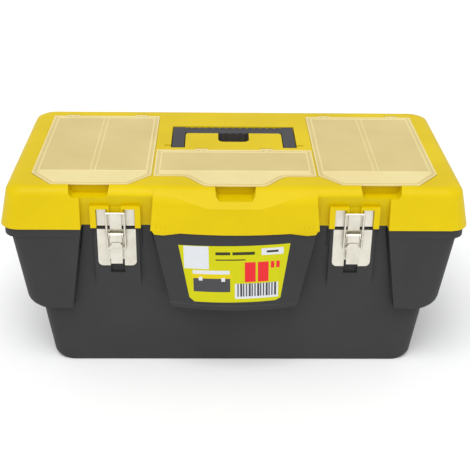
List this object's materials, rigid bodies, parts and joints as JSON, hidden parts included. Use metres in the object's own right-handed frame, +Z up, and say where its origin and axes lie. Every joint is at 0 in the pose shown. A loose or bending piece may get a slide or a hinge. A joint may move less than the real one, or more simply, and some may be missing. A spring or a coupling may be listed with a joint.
{
  "type": "toolbox with tray",
  "caption": "Moulded plastic toolbox with a lift-out tray, a hinged lid with clear-covered organisers, a folding carry handle and steel draw latches.",
  "frame": {"origin": "middle of the base, on the floor", "axes": "+X to the right along the length, +Y to the back where the hinges are, +Z up"},
  "size_m": [0.556, 0.2967, 0.248],
  "materials": {
    "tub_plastic": "satin",
    "lid_plastic": "satin",
    "cover_plastic": "satin",
    "handle_plastic": "satin",
    "tray_plastic": "satin",
    "nickel_steel": "polished",
    "pin_steel": "satin",
    "label_film": "gloss"
  },
  "bodies": {
    "tub": {"tub": "tub_plastic", "label": "label_film", "hinge_pin_left": "pin_steel", "hinge_pin_centre": "pin_steel", "hinge_pin_right": "pin_steel", "latch_plate_left": "nickel_steel", "latch_plate_right": "nickel_steel", "lever_pin_left": "pin_steel", "lever_pin_right": "pin_steel"},
    "lid": {"lid": "lid_plastic", "strike_plate_left": "nickel_steel", "strike_plate_right": "nickel_steel"},
    "handle": {"carry_handle": "handle_plastic"},
    "cover_left": {"organiser_cover_left": "cover_plastic"},
    "cover_right": {"organiser_cover_right": "cover_plastic"},
    "cover_front": {"organiser_cover_front": "cover_plastic"},
    "lever_left": {"latch_lever_left": "nickel_steel"},
    "lever_right": {"latch_lever_right": "nickel_steel"},
    "bail_left": {"latch_bail_left": "nickel_steel"},
    "bail_right": {"latch_bail_right": "nickel_steel"},
    "tray": {"tray": "tray_plastic"}
  },
  "joints": [
    {"name": "lid_hinge", "type": "hinge", "parent": "tub", "child": "lid", "pos_m": [0, 0.141, 0.196], "axis": [-1, 0, 0], "range_deg": [0, 100]},
    {"name": "handle_swing", "type": "hinge", "parent": "lid", "child": "handle", "pos_m": [0, 0.002, 0.2397], "axis": [-1, 0, 0], "range_deg": [-90, 0]},
    {"name": "cover_left_hinge", "type": "hinge", "parent": "lid", "child": "cover_left", "pos_m": [-0.17075, 0.1074, 0.2448], "axis": [-1, 0, 0], "range_deg": [0, 110]},
    {"name": "cover_right_hinge", "type": "hinge", "parent": "lid", "child": "cover_right", "pos_m": [0.17075, 0.1074, 0.2448], "axis": [-1, 0, 0], "range_deg": [0, 110]},
    {"name": "cover_front_hinge", "type": "hinge", "parent": "lid", "child": "cover_front", "pos_m": [0, -0.0126, 0.2448], "axis": [-1, 0, 0], "range_deg": [0, 100]},
    {"name": "lever_left_swing", "type": "hinge", "parent": "tub", "child": "lever_left", "pos_m": [-0.1405, -0.1322, 0.186], "axis": [-1, 0, 0], "range_deg": [0, 120]},
    {"name": "lever_right_swing", "type": "hinge", "parent": "tub", "child": "lever_right", "pos_m": [0.1405, -0.1322, 0.186], "axis": [-1, 0, 0], "range_deg": [0, 120]},
    {"name": "bail_left_swing", "type": "hinge", "parent": "lever_left", "child": "bail_left", "pos_m": [-0.1405, -0.1318, 0.1685], "axis": [-1, 0, 0], "range_deg": [-144, 0]},
    {"name": "bail_right_swing", "type": "hinge", "parent": "lever_right", "child": "bail_right", "pos_m": [0.1405, -0.1318, 0.1685], "axis": [-1, 0, 0], "range_deg": [-144, 0]},
    {"name": "tray_lift", "type": "slide", "parent": "tub", "child": "tray", "axis": [0, 0, 1], "range_m": [0, 0.014]}
  ],
  "couplings": [
    {"joint": "bail_left_swing", "follows": "lever_left_swing", "ratio": -1.2},
    {"joint": "bail_right_swing", "follows": "lever_right_swing", "ratio": -1.2}
  ]
}
